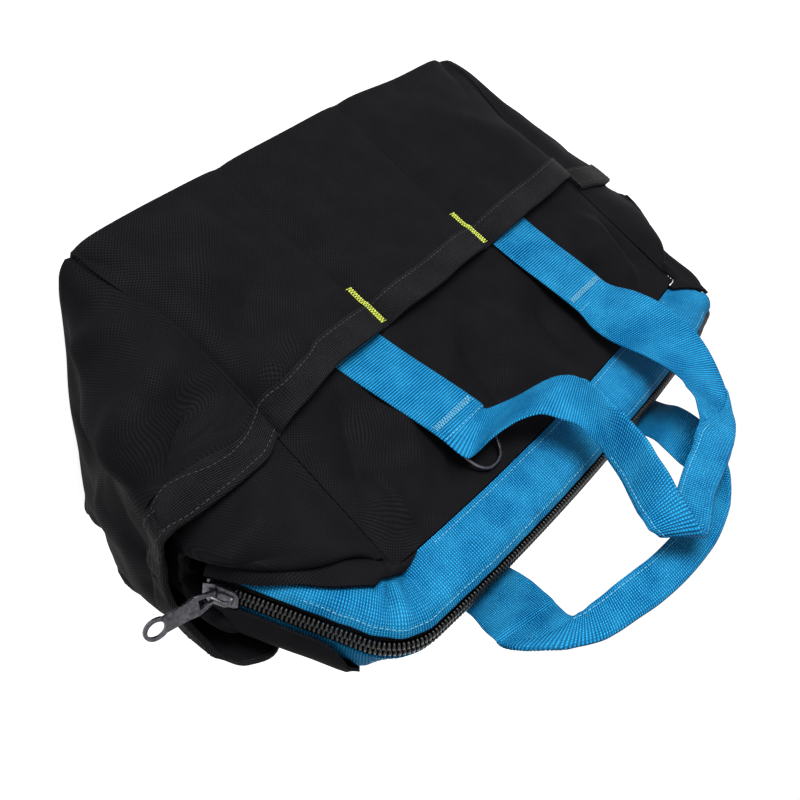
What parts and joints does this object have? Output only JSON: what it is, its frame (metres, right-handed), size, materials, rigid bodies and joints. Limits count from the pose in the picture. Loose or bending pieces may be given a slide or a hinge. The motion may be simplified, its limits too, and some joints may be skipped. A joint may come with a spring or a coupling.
{
  "type": "tool bag",
  "caption": "open-topped soft tool bag with a zipped mouth, slip pockets on every side, two webbing carry handles and a clip ring",
  "frame": {"origin": "middle of the underside of the base, where the upright bag rests", "axes": "+Z from the base to the mouth, +X towards the end with the zipper slider, -Y the front, which the picture shows"},
  "size_m": [0.4933, 0.2066, 0.3302],
  "materials": {
    "black_cloth": "coated plain-weave cloth, dull with a slight sheen on the folds",
    "grey_board": "smooth matt board",
    "black_tape": "ribbed binding tape, matt",
    "blue_webbing": "ribbed woven webbing with a soft sheen",
    "black_nylon": "glossy moulded nylon",
    "black_metal": "glossy black plating",
    "lime_thread": "twisted sewing thread"
  },
  "bodies": {
    "bag": {"base_panel": "black_cloth", "front_panel": "black_cloth", "back_panel": "black_cloth", "end_panel_right": "black_cloth", "end_panel_left": "black_cloth", "front_pocket": "black_cloth", "back_pocket": "black_cloth", "end_pocket_right": "black_cloth", "end_pocket_left": "black_cloth", "base_board": "grey_board", "front_pocket_binding": "black_tape", "back_pocket_binding": "black_tape", "end_pocket_right_binding": "black_tape", "end_pocket_left_binding": "black_tape", "zipper_tape_front": "black_tape", "zipper_tape_back": "black_tape", "d_ring_tab": "black_tape", "mouth_band_front": "blue_webbing", "mouth_band_back": "blue_webbing", "front_strap_right": "blue_webbing", "front_strap_left": "blue_webbing", "back_strap_right": "blue_webbing", "back_strap_left": "blue_webbing", "zipper_coil_front": "black_nylon", "zipper_coil_back": "black_nylon", "zipper_end_stop": "black_nylon", "front_pocket_tack_right": "lime_thread", "front_pocket_tack_left": "lime_thread", "back_pocket_tack_right": "lime_thread", "back_pocket_tack_left": "lime_thread"},
    "front_handle": {"front_handle": "blue_webbing"},
    "back_handle": {"back_handle": "blue_webbing"},
    "slider": {"zipper_slider": "black_metal"},
    "pull_tab": {"pull_tab": "black_metal"},
    "d_ring": {"d_ring": "black_metal"}
  },
  "joints": [
    {"name": "front_handle_swing", "type": "hinge", "parent": "bag", "child": "front_handle", "pos_m": [0, -0.03653, 0.18889], "axis": [1, 0, 0], "range_deg": [0, 110]},
    {"name": "back_handle_swing", "type": "hinge", "parent": "bag", "child": "back_handle", "pos_m": [0, 0.03653, 0.18889], "axis": [1, 0, 0], "range_deg": [-130, 0]},
    {"name": "slider_travel", "type": "slide", "parent": "bag", "child": "slider", "axis": [-0.289, 0, 0.9573], "range_m": [0, 0.045]},
    {"name": "pull_tab_swing", "type": "hinge", "parent": "slider", "child": "pull_tab", "pos_m": [0.21665, 0, 0.14703], "axis": [0, 1, 0], "range_deg": [-100, 40]},
    {"name": "d_ring_swing", "type": "hinge", "parent": "bag", "child": "d_ring", "pos_m": [0.06386, -0.03165, 0.18975], "axis": [1, 0, 0], "range_deg": [0, 25]}
  ]
}
